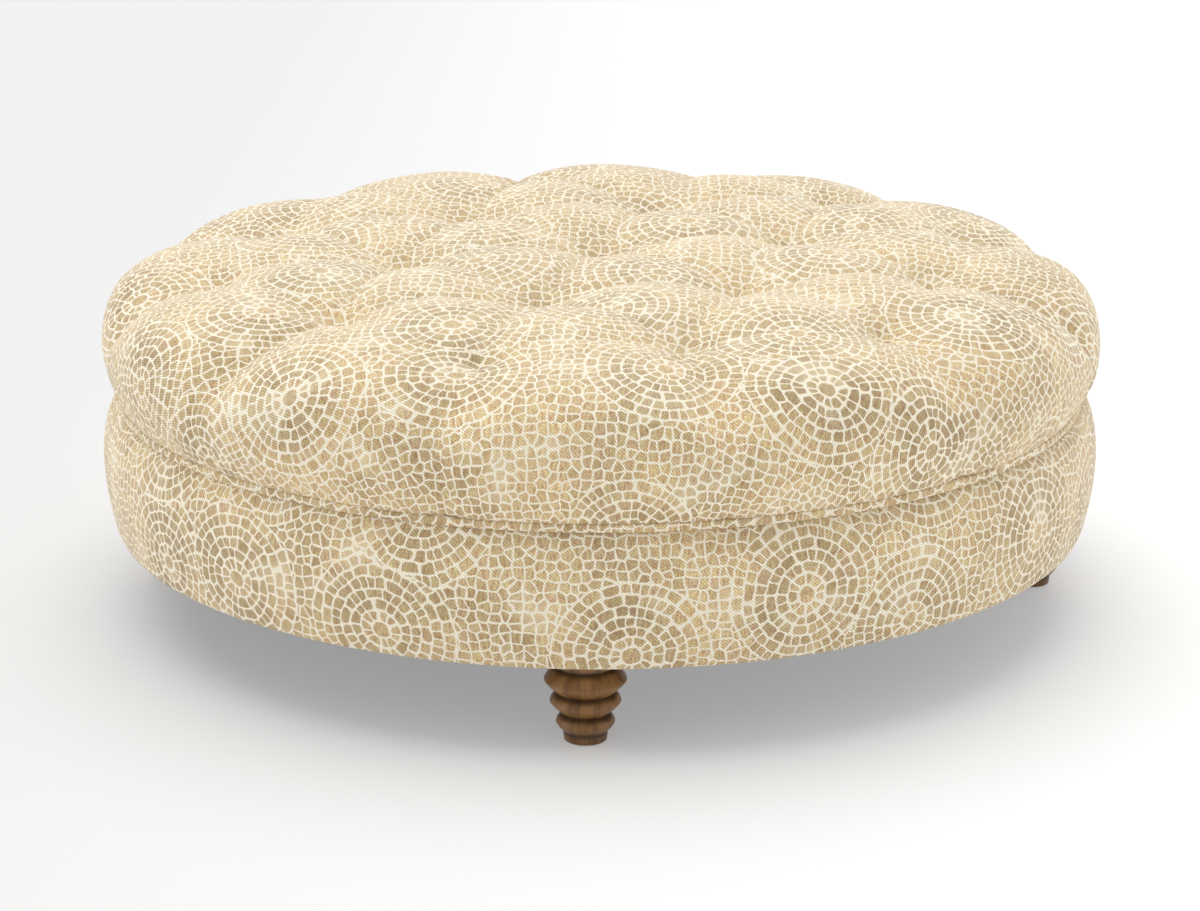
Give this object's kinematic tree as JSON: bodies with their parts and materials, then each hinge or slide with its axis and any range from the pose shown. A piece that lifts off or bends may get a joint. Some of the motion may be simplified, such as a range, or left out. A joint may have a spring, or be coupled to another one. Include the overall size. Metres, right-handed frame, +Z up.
{
  "type": "ottoman coffee table",
  "caption": "Round upholstered ottoman coffee table: tufted cushion over a padded band, on turned wooden legs.",
  "frame": {"origin": "on the floor under the centre of the ottoman", "axes": "+Z up through the centre, -Y towards the front leg, +X towards the right leg"},
  "size_m": [1.207, 1.207, 0.4457],
  "materials": {
    "printed_fabric": "matte woven upholstery cloth with a printed mosaic of tan tiles on cream",
    "batting": "white polyester wrap",
    "foam": "open-cell polyurethane foam",
    "twine": "waxed twine and cotton cord",
    "zinc_plated_steel": "zinc-plated",
    "plywood": "raw birch plywood",
    "frame_timber": "raw softwood and beech",
    "black_cambric": "thin spun-bonded black cloth",
    "turned_wood": "stained and lacquered, satin",
    "glide_plastic": "moulded black polyethylene"
  },
  "bodies": {
    "root": {"top_cover": "printed_fabric", "welt_cover": "printed_fabric", "side_cover": "printed_fabric", "top_batting": "batting", "top_foam": "foam", "side_foam_front": "foam", "side_foam_right": "foam", "side_foam_back": "foam", "side_foam_left": "foam", "tuft_twines": "twine", "welt_cord": "twine", "tuft_washers": "zinc_plated_steel", "deck_screws": "zinc_plated_steel", "base_screws": "zinc_plated_steel", "hanger_bolts": "zinc_plated_steel", "tee_nuts": "zinc_plated_steel", "hem_staples": "zinc_plated_steel", "dust_cover_staples": "zinc_plated_steel", "deck_panel": "plywood", "base_panel": "plywood", "web_left": "plywood", "web_right": "plywood", "side_panel_front": "plywood", "side_panel_right": "plywood", "side_panel_back": "plywood", "side_panel_left": "plywood", "post_1": "frame_timber", "post_2": "frame_timber", "post_3": "frame_timber", "post_4": "frame_timber", "post_5": "frame_timber", "post_6": "frame_timber", "post_7": "frame_timber", "post_8": "frame_timber", "leg_block_front": "frame_timber", "leg_block_right": "frame_timber", "leg_block_back": "frame_timber", "leg_block_left": "frame_timber", "dust_cover": "black_cambric", "leg_front": "turned_wood", "leg_right": "turned_wood", "leg_back": "turned_wood", "leg_left": "turned_wood", "glide_front": "glide_plastic", "glide_right": "glide_plastic", "glide_back": "glide_plastic", "glide_left": "glide_plastic"}
  },
  "joints": []
}
